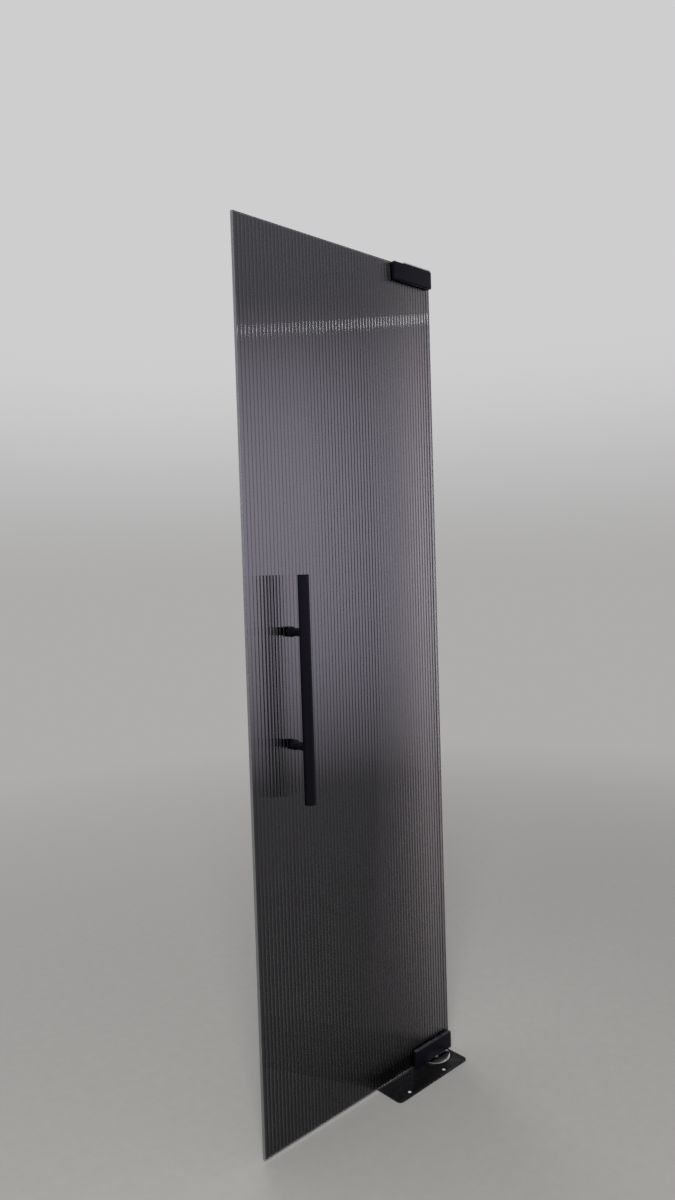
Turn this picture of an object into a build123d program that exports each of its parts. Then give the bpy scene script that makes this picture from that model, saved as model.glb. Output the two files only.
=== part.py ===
from build123d import *
import os

# Frameless entrance door: one leaf of fluted glass between a top pivot and a floor spring.
# Millimetres. The pivot axis is Z and z = 0 is the underside of the case in the floor. The leaf
# reaches from the axis towards -X, and its outer face, the fluted one, looks along -Y.

# Leaf
leaf_width = 734.0
leaf_height = 2423.0
glass_thickness = 10.0
floor_gap = 10.0
lintel_gap = 4.0
axis_to_edge = 61.0
flute_pitch = 12.0
flute_radius = 12.0
flute_depth = 1.5
arris = 0.8
edge_land = 0.1

# Patch fittings, the same at top and bottom
patch_length = 164.0
patch_height = 51.0
patch_proud = 12.0
cover_wall = 1.5
cover_chamfer = 2.5
cover_standoff = 0.5
cover_fit = 0.25
gasket_thickness = 1.0
notch_length = 116.0
notch_height = 32.0
notch_radius = 8.0
notch_clearance = 1.5
clamp_screw_radius = 4.0
clamp_screw_head_radius = 6.5
clamp_screw_head_height = 5.0
clamp_screw_sink = 0.5
clamp_screw_tip_cover = 2.5
clamp_screw_key = 5.0
clamp_screw_clearance = 0.25
cover_screw_radius = 2.0
cover_screw_length = 7.0
cover_screw_inset = 22.0
cover_screw_sink = 0.3
cover_screw_key = 2.0

# Sockets inside the patches
socket_length = 54.0
socket_width = 25.0
socket_height = 26.0
socket_inset = 2.0
socket_corner = 2.0
socket_fit = 0.1

# Floor spring spindle
spindle_radius = 12.0
spindle_square = 16.0
spindle_head_height = 21.0
spindle_taper = 3.0
spindle_head_chamfer = 1.0
spindle_socket_clearance = 0.05
spindle_head_space = 1.0
opening_about_axis = 13.5

# Top pivot
pivot_pin_radius = 7.5
pivot_pin_length = 20.0
pivot_pin_chamfer = 1.5
pivot_rivet_radius = 6.0
pivot_bush_wall = 2.5
pivot_bush_length = 22.0
pivot_plate_length = 120.0
pivot_plate_width = 34.0
pivot_plate_corner = 6.0
pivot_plate_clearance = 1.0
pivot_screw_spacing = 90.0
pivot_screw_hole_radius = 2.75
pivot_screw_head_radius = 4.75

# Pull handles, a pair back to back
handle_from_edge = 140.0
handle_length = 600.0
handle_height = 923.0
handle_radius = 15.0
handle_wall = 2.0
handle_standoff = 61.0
handle_post_spacing = 300.0
post_radius = 11.0
base_radius = 14.0
base_height = 11.0
base_edge = 1.0
spigot_radius = 7.0
spigot_height = 14.0
spigot_space = 1.0
handle_washer_thickness = 1.0
handle_stud_radius = 4.0
handle_stud_depth = 14.0
handle_stud_space = 1.0
glass_hole_radius = 8.0
sleeve_fit = 0.15
plug_head = 3.0
plug_spigot = 12.0
plug_edge = 1.0
handle_grub_radius = 2.5
handle_grub_sink = 0.3
handle_grub_key = 2.5

# Floor spring, its case and its cover plate
plate_length = 305.0
plate_width = 174.0
plate_thickness = 3.0
plate_past_axis = 55.0
plate_corner = 15.0
plate_edge = 0.8
plate_overhang = 4.0
plate_screw_inset = 17.0
plate_screw_far = 193.0
plate_screw_near = 39.0
plate_screw_radius = 2.5
plate_screw_head_radius = 5.0
plate_screw_length = 12.0
plate_screw_sink = 0.1
plate_screw_key = 2.5
ring_radius = 48.0
ring_height = 2.0
ring_edge = 1.5
ring_spigot_radius = 32.0
case_depth = 52.0
case_wall = 2.0
case_corner = 6.0
case_lug_length = 16.0
case_lug_margin = 6.0
case_lug_height = 14.0
anchor_spacing_x = 250.0
anchor_spacing_y = 130.0
anchor_hole_radius = 3.5
closer_below_floor = 12.0
closer_underspace = 4.0
closer_past_axis = 42.0
closer_behind_axis = 78.0
closer_width = 84.0
closer_corner = 10.0
spring_housing_length = 150.0
spring_housing_width = 64.0
spring_housing_corner = 12.0
lid_size = 76.0
lid_thickness = 4.0
lid_corner = 10.0
lid_screw_spacing = 58.0
lid_screw_radius = 2.5
lid_screw_head_radius = 4.6
lid_screw_length = 14.0
lid_screw_key = 2.5
bearing_wall = 6.0
bearing_length = 22.0
thrust_washer_radius = 15.0
thrust_washer_thickness = 2.0
seal_width = 5.0
seal_height = 3.0
seal_clearance = 0.3
spindle_hole_clearance = 0.5
ear_radius = 9.0
ear_height = 12.0
ear_lift = 4.0
ear_reach = 8.0
ear_from_end = 16.0
levelling_screw_radius = 4.0
levelling_screw_above = 3.0
levelling_screw_key = 4.0
end_plug_radius = 16.0
end_plug_head = 4.0
end_plug_depth = 10.0
end_plug_key = 10.0
valve_screw_radius = 4.0
valve_screw_length = 12.0
valve_screw_above = 1.0
valve_screw_spacing = 40.0
valve_slot_width = 1.2
valve_slot_depth = 1.5

# Fits
running_clearance = 0.05
snug = 0.05

# Places that follow from the sizes above
half_glass = glass_thickness / 2
hinge_edge_x = axis_to_edge
leading_edge_x = hinge_edge_x - leaf_width
floor_level = case_depth
leaf_bottom = floor_level + floor_gap
leaf_top = leaf_bottom + leaf_height
leaf_middle = Plane.XY.offset(leaf_bottom + leaf_height / 2)
lintel_z = leaf_top + lintel_gap

clamp_y = half_glass + gasket_thickness
clamp_thickness = patch_proud - gasket_thickness - cover_standoff - cover_wall
clamp_length = patch_length - 2 * (cover_wall + cover_fit)
clamp_height = patch_height - 2 * (cover_wall + cover_fit)
clamp_outer_y = clamp_y + clamp_thickness
patch_x = hinge_edge_x - patch_length / 2
patch_z = leaf_bottom + patch_height / 2
clamp_hinge_x = patch_x + clamp_length / 2
clamp_bottom = patch_z - clamp_height / 2
block_start_x = hinge_edge_x - notch_length + notch_clearance
block_top = leaf_bottom + notch_height - notch_clearance
block_length = clamp_hinge_x - block_start_x
block_height = block_top - clamp_bottom
socket_bottom = leaf_bottom + socket_inset
clamp_screw_z = (clamp_bottom + block_top) / 2
clamp_screw_points = [
    ((block_start_x - socket_length / 2) / 2, clamp_screw_z),
    ((clamp_hinge_x + socket_length / 2) / 2, clamp_screw_z),
]
cover_screw_points = [
    (patch_x - patch_length / 2 + cover_screw_inset, -clamp_y - clamp_thickness / 2),
    (hinge_edge_x - cover_screw_inset, -clamp_y - clamp_thickness / 2),
]

handle_x = leading_edge_x + handle_from_edge
handle_y = half_glass + handle_standoff
handle_bottom = floor_level + handle_height
handle_middle_z = handle_bottom + handle_length / 2
post_points = [
    (handle_x, handle_middle_z - handle_post_spacing / 2),
    (handle_x, handle_middle_z + handle_post_spacing / 2),
]
base_foot_y = half_glass + handle_washer_thickness
base_top_y = base_foot_y + base_height

plate_x = plate_past_axis - plate_length / 2
plate_screw_y = plate_width / 2 - plate_screw_inset
plate_screw_points = [
    (-x, y) for x in (plate_screw_far, plate_screw_near) for y in (-plate_screw_y, plate_screw_y)
]
plate_top = floor_level + plate_thickness
plate_screw_top = plate_top - plate_screw_sink
case_length = plate_length - 2 * plate_overhang
case_width = plate_width - 2 * plate_overhang
case_lug_inner_y = plate_screw_y - case_lug_margin
case_lug_outer_y = (case_width - case_wall) / 2
case_lug_y = (case_lug_inner_y + case_lug_outer_y) / 2
case_lug_points = [
    (-x, y) for x in (plate_screw_far, plate_screw_near) for y in (-case_lug_y, case_lug_y)
]
closer_bottom = case_wall + closer_underspace
closer_top = floor_level - closer_below_floor
closer_height = closer_top - closer_bottom
closer_middle_z = closer_bottom + closer_height / 2
bearing_radius = spindle_radius + bearing_wall
bearing_bottom = closer_top - bearing_length
spindle_bottom = bearing_bottom
lid_top = closer_top + lid_thickness
spring_housing_end_x = -closer_behind_axis - spring_housing_length
valve_screw_x = -(closer_behind_axis + lid_size / 2) / 2
valve_screw_points = [
    (valve_screw_x, -valve_screw_spacing / 2),
    (valve_screw_x, valve_screw_spacing / 2),
]
ear_rows = [
    (closer_past_axis - ear_from_end, closer_width / 2 + ear_reach),
    (spring_housing_end_x + ear_from_end, spring_housing_width / 2 + ear_reach),
]
ear_points = [(x, side * y) for x, y in ear_rows for side in (-1, 1)]

os.makedirs("parts", exist_ok=True)


def save(builder, name):
    builder.part.label = name
    export_step(builder.part, f"parts/{name}.step")


# Glass leaf: a row of shallow hollow flutes with narrow ridges between them on the outer face,
# arrised long edges, two hinge side notches for the patches and two holes for the handles
flute_count = int((leaf_width - 2 * (arris + edge_land)) / flute_pitch)
flute_centre_y = flute_depth - half_glass - flute_radius
leaf_x = hinge_edge_x - leaf_width / 2

with BuildPart() as glass_leaf:
    with BuildSketch(Plane.XY.offset(leaf_bottom)) as leaf_section:
        with Locations((leaf_x, 0)):
            Rectangle(leaf_width, glass_thickness)
        chamfer(leaf_section.vertices(), length=arris)
        with Locations((leaf_x, flute_centre_y)):
            with GridLocations(flute_pitch, flute_pitch, flute_count, 1):
                Circle(flute_radius, mode=Mode.SUBTRACT)
    extrude(amount=leaf_height)
    with BuildSketch(Plane.XZ):
        with Locations((hinge_edge_x, leaf_bottom), (hinge_edge_x, leaf_top)):
            RectangleRounded(2 * notch_length, 2 * notch_height, notch_radius)
        with Locations(*post_points):
            Circle(glass_hole_radius)
    extrude(amount=glass_thickness, both=True, mode=Mode.SUBTRACT)
save(glass_leaf, "glass_leaf")

# Patch covers: folded shells with a chamfered face, open towards the glass
with BuildPart() as bottom_patch_front_cover:
    with BuildSketch(Plane.XZ.offset(half_glass + cover_standoff)):
        with Locations((patch_x, patch_z)):
            Rectangle(patch_length, patch_height)
    extrude(amount=patch_proud - cover_standoff)
    chamfer(faces().sort_by(Axis.Y)[0].edges(), length=cover_chamfer)
    offset(amount=-cover_wall, openings=faces().sort_by(Axis.Y)[-1], kind=Kind.INTERSECTION)
    with BuildSketch(Plane.XY.offset(leaf_bottom)):
        Circle(opening_about_axis)
        with Locations(*cover_screw_points):
            Circle(cover_screw_radius + snug)
    extrude(amount=cover_wall, mode=Mode.SUBTRACT)
save(bottom_patch_front_cover, "bottom_patch_front_cover")

with BuildPart() as bottom_patch_rear_cover:
    mirror(bottom_patch_front_cover.part, about=Plane.XZ)
save(bottom_patch_rear_cover, "bottom_patch_rear_cover")

with BuildPart() as top_patch_front_cover:
    mirror(bottom_patch_front_cover.part, about=leaf_middle)
save(top_patch_front_cover, "top_patch_front_cover")

with BuildPart() as top_patch_rear_cover:
    mirror(bottom_patch_rear_cover.part, about=leaf_middle)
save(top_patch_rear_cover, "top_patch_rear_cover")

# Space for the socket, cut through the edge faces of both clamps
with BuildPart() as socket_pocket:
    with BuildSketch(Plane.XY.offset(clamp_bottom)):
        Rectangle(socket_length + 2 * socket_fit, socket_width + 2 * socket_fit)
    extrude(amount=socket_bottom + socket_height + socket_fit - clamp_bottom)

# Front clamp: carries the block that fills the glass notch, tapped for the clamp screws
with BuildPart() as bottom_patch_front_clamp:
    with BuildSketch(Plane.XZ.offset(clamp_y)):
        with Locations((patch_x, patch_z)):
            Rectangle(clamp_length, clamp_height)
    extrude(amount=clamp_thickness)
    chamfer(faces().sort_by(Axis.Y)[0].edges(), length=cover_chamfer)
    with BuildSketch(Plane.XZ.offset(clamp_y)) as block_outline:
        with Locations((block_start_x, clamp_bottom)):
            Rectangle(block_length, block_height, align=(Align.MIN, Align.MIN))
        corner = block_outline.vertices().group_by(Axis.X)[0].sort_by(Axis.Y)[-1]
        fillet(corner, notch_radius - notch_clearance)
    extrude(amount=-2 * clamp_y)
    add(socket_pocket.part, mode=Mode.SUBTRACT)
    with BuildSketch(Plane.XZ.offset(clamp_outer_y)):
        with Locations(*clamp_screw_points):
            Circle(clamp_screw_radius + snug)
    extrude(amount=-clamp_outer_y - clamp_y, mode=Mode.SUBTRACT)
    with BuildSketch(Plane.XY.offset(clamp_bottom)):
        with Locations(*cover_screw_points):
            Circle(cover_screw_radius + snug)
    extrude(amount=cover_screw_length, mode=Mode.SUBTRACT)
save(bottom_patch_front_clamp, "bottom_patch_front_clamp")

with BuildPart() as top_patch_front_clamp:
    mirror(bottom_patch_front_clamp.part, about=leaf_middle)
save(top_patch_front_clamp, "top_patch_front_clamp")

# Rear clamp: counterbored for the heads of the clamp screws
rear_outside = Plane(origin=(0, clamp_outer_y, 0), x_dir=(-1, 0, 0), z_dir=(0, 1, 0))
with BuildPart() as bottom_patch_rear_clamp:
    with BuildSketch(Plane.XZ.offset(-clamp_y)):
        with Locations((patch_x, patch_z)):
            Rectangle(clamp_length, clamp_height)
    extrude(amount=-clamp_thickness)
    chamfer(faces().sort_by(Axis.Y)[-1].edges(), length=cover_chamfer)
    add(socket_pocket.part, mode=Mode.SUBTRACT)
    with Locations(rear_outside):
        with Locations(*[(-x, z) for x, z in clamp_screw_points]):
            CounterBoreHole(
                radius=clamp_screw_radius + clamp_screw_clearance,
                counter_bore_radius=clamp_screw_head_radius + clamp_screw_clearance,
                counter_bore_depth=clamp_screw_head_height + clamp_screw_sink,
                depth=clamp_thickness,
            )
    with BuildSketch(Plane.XY.offset(clamp_bottom)):
        with Locations(*[(x, -y) for x, y in cover_screw_points]):
            Circle(cover_screw_radius + snug)
    extrude(amount=cover_screw_length, mode=Mode.SUBTRACT)
save(bottom_patch_rear_clamp, "bottom_patch_rear_clamp")

with BuildPart() as top_patch_rear_clamp:
    mirror(bottom_patch_rear_clamp.part, about=leaf_middle)
save(top_patch_rear_clamp, "top_patch_rear_clamp")

# Gaskets: one on each face of the glass, cut out where the block passes
with BuildPart() as bottom_patch_gaskets:
    with BuildSketch(Plane.XZ.offset(half_glass)):
        with Locations((patch_x, patch_z)):
            Rectangle(clamp_length, clamp_height)
        with Locations((hinge_edge_x, leaf_bottom)):
            RectangleRounded(2 * notch_length, 2 * notch_height, notch_radius, mode=Mode.SUBTRACT)
    extrude(amount=gasket_thickness)
    mirror(about=Plane.XZ)
save(bottom_patch_gaskets, "bottom_patch_gaskets")

with BuildPart() as top_patch_gaskets:
    mirror(bottom_patch_gaskets.part, about=leaf_middle)
save(top_patch_gaskets, "top_patch_gaskets")

# Clamp screws: low heads sunk in the rear clamp, tips in the block
clamp_screw_shank = 2 * clamp_outer_y - clamp_screw_head_height - clamp_screw_sink
with BuildPart() as bottom_patch_clamp_screws:
    with BuildSketch(Plane.XZ.offset(clamp_screw_sink - clamp_outer_y)):
        with Locations(*clamp_screw_points):
            Circle(clamp_screw_head_radius)
            RegularPolygon(clamp_screw_key / 2, 6, major_radius=False, mode=Mode.SUBTRACT)
    extrude(amount=clamp_screw_head_height / 2)
    with BuildSketch(Plane.XZ.offset(clamp_screw_sink + clamp_screw_head_height / 2 - clamp_outer_y)):
        with Locations(*clamp_screw_points):
            Circle(clamp_screw_head_radius)
    extrude(amount=clamp_screw_head_height / 2)
    with BuildSketch(Plane.XZ.offset(clamp_screw_sink + clamp_screw_head_height - clamp_outer_y)):
        with Locations(*clamp_screw_points):
            Circle(clamp_screw_radius)
    extrude(amount=clamp_screw_shank - clamp_screw_tip_cover)
save(bottom_patch_clamp_screws, "bottom_patch_clamp_screws")

with BuildPart() as top_patch_clamp_screws:
    mirror(bottom_patch_clamp_screws.part, about=leaf_middle)
save(top_patch_clamp_screws, "top_patch_clamp_screws")

# Cover screws: grub screws through the edge of each cover into its clamp
with BuildPart() as bottom_patch_cover_screws:
    with BuildSketch(Plane.XY.offset(leaf_bottom + cover_screw_sink)):
        with Locations(*cover_screw_points):
            Circle(cover_screw_radius)
    extrude(amount=cover_screw_length)
    with BuildSketch(Plane.XY.offset(leaf_bottom + cover_screw_sink)):
        with Locations(*cover_screw_points):
            RegularPolygon(cover_screw_key / 2, 6, major_radius=False)
    extrude(amount=cover_screw_length / 3, mode=Mode.SUBTRACT)
    mirror(about=Plane.XZ)
save(bottom_patch_cover_screws, "bottom_patch_cover_screws")

with BuildPart() as top_patch_cover_screws:
    mirror(bottom_patch_cover_screws.part, about=leaf_middle)
save(top_patch_cover_screws, "top_patch_cover_screws")

# Spindle socket: steel block with a tapered square hole that rests on the spindle's shoulder
with BuildPart() as spindle_socket:
    with BuildSketch(Plane.XY.offset(socket_bottom)):
        RectangleRounded(socket_length, socket_width, socket_corner)
    extrude(amount=socket_height)
    with BuildSketch(Plane.XY.offset(socket_bottom)):
        socket_square = spindle_square + 2 * spindle_socket_clearance
        Rectangle(socket_square, socket_square)
    extrude(
        amount=spindle_head_height + spindle_head_space,
        taper=spindle_taper,
        mode=Mode.SUBTRACT,
    )
save(spindle_socket, "spindle_socket")

# Top pivot socket and the nylon bush pressed into it
pivot_bush_bore = pivot_pin_radius + running_clearance
pivot_bush_radius = pivot_bush_bore + pivot_bush_wall
pivot_socket_top = leaf_top - socket_inset
with BuildPart() as top_pivot_socket:
    with BuildSketch(Plane.XY.offset(pivot_socket_top)):
        RectangleRounded(socket_length, socket_width, socket_corner)
    extrude(amount=-socket_height)
    with BuildSketch(Plane.XY.offset(pivot_socket_top)):
        Circle(pivot_bush_radius + snug)
    extrude(amount=-pivot_bush_length, mode=Mode.SUBTRACT)
save(top_pivot_socket, "top_pivot_socket")

with BuildPart() as top_pivot_bush:
    with BuildSketch(Plane.XY.offset(pivot_socket_top)):
        Circle(pivot_bush_radius)
        Circle(pivot_bush_bore, mode=Mode.SUBTRACT)
    extrude(amount=-pivot_bush_length)
save(top_pivot_bush, "top_pivot_bush")

# Top pivot plate against the lintel, with two countersunk screw holes
pivot_plate_thickness = lintel_gap - pivot_plate_clearance
pivot_plate_bottom = lintel_z - pivot_plate_thickness
plate_underside = Plane(origin=(0, 0, pivot_plate_bottom), x_dir=(1, 0, 0), z_dir=(0, 0, -1))
with BuildPart() as top_pivot_plate:
    with BuildSketch(Plane.XY.offset(pivot_plate_bottom)):
        RectangleRounded(pivot_plate_length, pivot_plate_width, pivot_plate_corner)
        Circle(pivot_rivet_radius + snug, mode=Mode.SUBTRACT)
    extrude(amount=pivot_plate_thickness)
    with Locations(plate_underside):
        with Locations((-pivot_screw_spacing / 2, 0), (pivot_screw_spacing / 2, 0)):
            CounterSinkHole(
                radius=pivot_screw_hole_radius,
                counter_sink_radius=pivot_screw_head_radius,
                depth=pivot_plate_thickness,
            )
save(top_pivot_plate, "top_pivot_plate")

# Top pivot pin, riveted through the plate
with BuildPart() as top_pivot_pin:
    with BuildSketch(Plane.XY.offset(pivot_plate_bottom)):
        Circle(pivot_pin_radius)
    extrude(amount=-pivot_pin_length)
    chamfer(faces().sort_by(Axis.Z)[0].edges(), length=pivot_pin_chamfer)
    with BuildSketch(Plane.XY.offset(pivot_plate_bottom)):
        Circle(pivot_rivet_radius)
    extrude(amount=pivot_plate_thickness)
save(top_pivot_pin, "top_pivot_pin")

# Handle bars: round tubes with their ends closed by plugs
tube_bottom = handle_bottom + plug_head
tube_length = handle_length - 2 * plug_head
tube_bore = handle_radius - handle_wall
with BuildPart() as front_handle_bar:
    with BuildSketch(Plane.XY.offset(tube_bottom)):
        with Locations((handle_x, -handle_y)):
            Circle(handle_radius)
            Circle(tube_bore, mode=Mode.SUBTRACT)
    extrude(amount=tube_length)
save(front_handle_bar, "front_handle_bar")

with BuildPart() as rear_handle_bar:
    mirror(front_handle_bar.part, about=Plane.XZ)
save(rear_handle_bar, "rear_handle_bar")

with BuildPart() as front_handle_end_plugs:
    with BuildSketch(Plane.XY.offset(handle_bottom)):
        with Locations((handle_x, -handle_y)):
            Circle(handle_radius)
    extrude(amount=plug_head)
    chamfer(faces().sort_by(Axis.Z)[0].edges(), length=plug_edge)
    with BuildSketch(Plane.XY.offset(tube_bottom)):
        with Locations((handle_x, -handle_y)):
            Circle(tube_bore - snug)
    extrude(amount=plug_spigot)
    mirror(about=Plane.XY.offset(handle_middle_z))
save(front_handle_end_plugs, "front_handle_end_plugs")

with BuildPart() as rear_handle_end_plugs:
    mirror(front_handle_end_plugs.part, about=Plane.XZ)
save(rear_handle_end_plugs, "rear_handle_end_plugs")

# Handle bases: turned collars that the studs pull against the glass, with a spigot for the post
with BuildPart() as front_handle_bases:
    with BuildSketch(Plane.XZ.offset(base_foot_y)):
        with Locations(*post_points):
            Circle(base_radius)
    extrude(amount=base_height)
    chamfer(faces().sort_by(Axis.Y)[0].edges(), length=base_edge)
    with BuildSketch(Plane.XZ.offset(base_top_y)):
        with Locations(*post_points):
            Circle(spigot_radius)
    extrude(amount=spigot_height)
    with BuildSketch(Plane.XZ.offset(base_foot_y)):
        with Locations(*post_points):
            Circle(handle_stud_radius + snug)
    extrude(amount=handle_stud_depth + handle_stud_space, mode=Mode.SUBTRACT)
save(front_handle_bases, "front_handle_bases")

with BuildPart() as rear_handle_bases:
    mirror(front_handle_bases.part, about=Plane.XZ)
save(rear_handle_bases, "rear_handle_bases")

# Handle posts: slide over the spigots, and end in a saddle on the bar
grub_y = base_top_y + spigot_height / 2
with BuildPart() as front_handle_posts:
    with BuildSketch(Plane.XZ.offset(base_top_y)):
        with Locations(*post_points):
            Circle(post_radius)
    extrude(amount=handle_y - base_top_y)
    with BuildSketch(Plane.XZ.offset(base_top_y)):
        with Locations(*post_points):
            Circle(spigot_radius + snug)
    extrude(amount=spigot_height + spigot_space, mode=Mode.SUBTRACT)
    with BuildSketch(Plane.XY.offset(handle_bottom)):
        with Locations((handle_x, -handle_y)):
            Circle(handle_radius + snug)
    extrude(amount=handle_length, mode=Mode.SUBTRACT)
    for x, z in post_points:
        with BuildSketch(Plane.XY.offset(z)):
            with Locations((x, -grub_y)):
                Circle(handle_grub_radius + snug)
        extrude(amount=-post_radius, mode=Mode.SUBTRACT)
save(front_handle_posts, "front_handle_posts")

with BuildPart() as rear_handle_posts:
    mirror(front_handle_posts.part, about=Plane.XZ)
save(rear_handle_posts, "rear_handle_posts")

# Washers, sleeves, studs and grub screws of the handles
with BuildPart() as handle_washers:
    with BuildSketch(Plane.XZ.offset(half_glass)):
        with Locations(*post_points):
            Circle(base_radius - base_edge)
            Circle(handle_stud_radius + snug, mode=Mode.SUBTRACT)
    extrude(amount=handle_washer_thickness)
    mirror(about=Plane.XZ)
save(handle_washers, "handle_washers")

with BuildPart() as handle_sleeves:
    with BuildSketch(Plane.XZ):
        with Locations(*post_points):
            Circle(glass_hole_radius - sleeve_fit)
            Circle(handle_stud_radius + snug, mode=Mode.SUBTRACT)
    extrude(amount=half_glass, both=True)
save(handle_sleeves, "handle_sleeves")

with BuildPart() as handle_studs:
    with BuildSketch(Plane.XZ):
        with Locations(*post_points):
            Circle(handle_stud_radius)
    extrude(amount=base_foot_y + handle_stud_depth, both=True)
save(handle_studs, "handle_studs")

grub_length = post_radius - handle_grub_sink - spigot_radius - snug
with BuildPart() as handle_grub_screws:
    for x, z in post_points:
        grub_outer_end = Plane.XY.offset(z - post_radius + handle_grub_sink)
        with BuildSketch(grub_outer_end):
            with Locations((x, -grub_y)):
                Circle(handle_grub_radius)
        extrude(amount=grub_length)
        with BuildSketch(grub_outer_end):
            with Locations((x, -grub_y)):
                RegularPolygon(handle_grub_key / 2, 6, major_radius=False)
        extrude(amount=grub_length / 2, mode=Mode.SUBTRACT)
    mirror(about=Plane.XZ)
save(handle_grub_screws, "handle_grub_screws")

# Closer spindle: round in its bearing, with a tapered square head for the socket
with BuildPart() as closer_spindle:
    with BuildSketch(Plane.XY.offset(spindle_bottom)):
        Circle(spindle_radius)
    extrude(amount=socket_bottom - spindle_bottom)
    with BuildSketch(Plane.XY.offset(socket_bottom)):
        Rectangle(spindle_square, spindle_square)
    extrude(amount=spindle_head_height, taper=spindle_taper)
    chamfer(faces().sort_by(Axis.Z)[-1].edges(), length=spindle_head_chamfer)
save(closer_spindle, "closer_spindle")

with BuildPart() as spindle_bearing:
    with BuildSketch(Plane.XY.offset(bearing_bottom)):
        Circle(bearing_radius)
        Circle(spindle_radius + running_clearance, mode=Mode.SUBTRACT)
    extrude(amount=bearing_length)
save(spindle_bearing, "spindle_bearing")

with BuildPart() as thrust_washer:
    with BuildSketch(Plane.XY.offset(spindle_bottom)):
        Circle(thrust_washer_radius)
    extrude(amount=-thrust_washer_thickness)
save(thrust_washer, "thrust_washer")

with BuildPart() as spindle_seal:
    with BuildSketch(Plane.XY.offset(lid_top)):
        Circle(spindle_radius + seal_clearance + seal_width)
        Circle(spindle_radius + seal_clearance, mode=Mode.SUBTRACT)
    extrude(amount=seal_height)
save(spindle_seal, "spindle_seal")

# Closer body: a cast block about the spindle, a housing for the spring and four ears
with BuildPart() as closer_body:
    with BuildSketch(Plane.XY.offset(closer_bottom)):
        with Locations(((closer_past_axis - closer_behind_axis) / 2, 0)):
            RectangleRounded(closer_past_axis + closer_behind_axis, closer_width, closer_corner)
    extrude(amount=closer_height)
    with BuildSketch(Plane.YZ.offset(-closer_behind_axis)):
        with Locations((0, closer_middle_z)):
            RectangleRounded(spring_housing_width, closer_height, spring_housing_corner)
    extrude(amount=-spring_housing_length)
    with BuildSketch(Plane.XY.offset(closer_bottom + ear_lift)):
        for x, y in ear_rows:
            with Locations((x, 0)):
                SlotCenterToCenter(2 * y, 2 * ear_radius, rotation=90)
    extrude(amount=ear_height)
    with BuildSketch(Plane.XY.offset(closer_bottom + ear_lift)):
        with Locations(*ear_points):
            Circle(levelling_screw_radius + snug)
    extrude(amount=ear_height, mode=Mode.SUBTRACT)
    with BuildSketch(Plane.XY.offset(closer_top)):
        Circle(bearing_radius + snug)
    extrude(amount=-bearing_length, mode=Mode.SUBTRACT)
    with BuildSketch(Plane.XY.offset(bearing_bottom)):
        Circle(thrust_washer_radius + snug)
    extrude(amount=-thrust_washer_thickness, mode=Mode.SUBTRACT)
    with BuildSketch(Plane.XY.offset(closer_top)):
        with GridLocations(lid_screw_spacing, lid_screw_spacing, 2, 2):
            Circle(lid_screw_radius + snug)
    extrude(amount=-lid_screw_length, mode=Mode.SUBTRACT)
    with BuildSketch(Plane.XY.offset(closer_top)):
        with Locations(*valve_screw_points):
            Circle(valve_screw_radius + snug)
    extrude(amount=valve_screw_above - valve_screw_length, mode=Mode.SUBTRACT)
    with BuildSketch(Plane.YZ.offset(spring_housing_end_x)):
        with Locations((0, closer_middle_z)):
            Circle(end_plug_radius + snug)
    extrude(amount=end_plug_depth, mode=Mode.SUBTRACT)
save(closer_body, "closer_body")

with BuildPart() as closer_lid:
    with BuildSketch(Plane.XY.offset(closer_top)):
        RectangleRounded(lid_size, lid_size, lid_corner)
        Circle(spindle_radius + spindle_hole_clearance, mode=Mode.SUBTRACT)
    extrude(amount=lid_thickness)
    with Locations((0, 0, lid_top)):
        with GridLocations(lid_screw_spacing, lid_screw_spacing, 2, 2):
            CounterSinkHole(
                radius=lid_screw_radius + snug,
                counter_sink_radius=lid_screw_head_radius + snug,
                depth=lid_thickness,
            )
save(closer_lid, "closer_lid")

# Closer screws: four countersunk in the lid, two slotted valve screws and a threaded end plug
with BuildPart() as closer_lid_screws:
    with BuildSketch(Plane.XY.offset(lid_top)):
        with GridLocations(lid_screw_spacing, lid_screw_spacing, 2, 2):
            Circle(lid_screw_head_radius)
    extrude(amount=lid_screw_radius - lid_screw_head_radius, taper=45)
    with BuildSketch(Plane.XY.offset(lid_top)):
        with GridLocations(lid_screw_spacing, lid_screw_spacing, 2, 2):
            Circle(lid_screw_radius)
    extrude(amount=-lid_screw_length)
    with BuildSketch(Plane.XY.offset(lid_top)):
        with GridLocations(lid_screw_spacing, lid_screw_spacing, 2, 2):
            RegularPolygon(lid_screw_key / 2, 6, major_radius=False)
    extrude(amount=-lid_screw_key, mode=Mode.SUBTRACT)
save(closer_lid_screws, "closer_lid_screws")

with BuildPart() as valve_screws:
    with BuildSketch(Plane.XY.offset(closer_top + valve_screw_above)):
        with Locations(*valve_screw_points):
            Circle(valve_screw_radius)
    extrude(amount=-valve_screw_length)
    with BuildSketch(Plane.XY.offset(closer_top + valve_screw_above)):
        with Locations(*valve_screw_points):
            Rectangle(2 * valve_screw_radius, valve_slot_width)
    extrude(amount=-valve_slot_depth, mode=Mode.SUBTRACT)
save(valve_screws, "valve_screws")

with BuildPart() as closer_end_plug:
    with BuildSketch(Plane.YZ.offset(spring_housing_end_x)):
        with Locations((0, closer_middle_z)):
            Circle(end_plug_radius)
    extrude(amount=end_plug_depth)
    with BuildSketch(Plane.YZ.offset(spring_housing_end_x)):
        with Locations((0, closer_middle_z)):
            RegularPolygon(end_plug_key / 2, 6, major_radius=False)
    extrude(amount=-end_plug_head)
save(closer_end_plug, "closer_end_plug")

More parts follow.
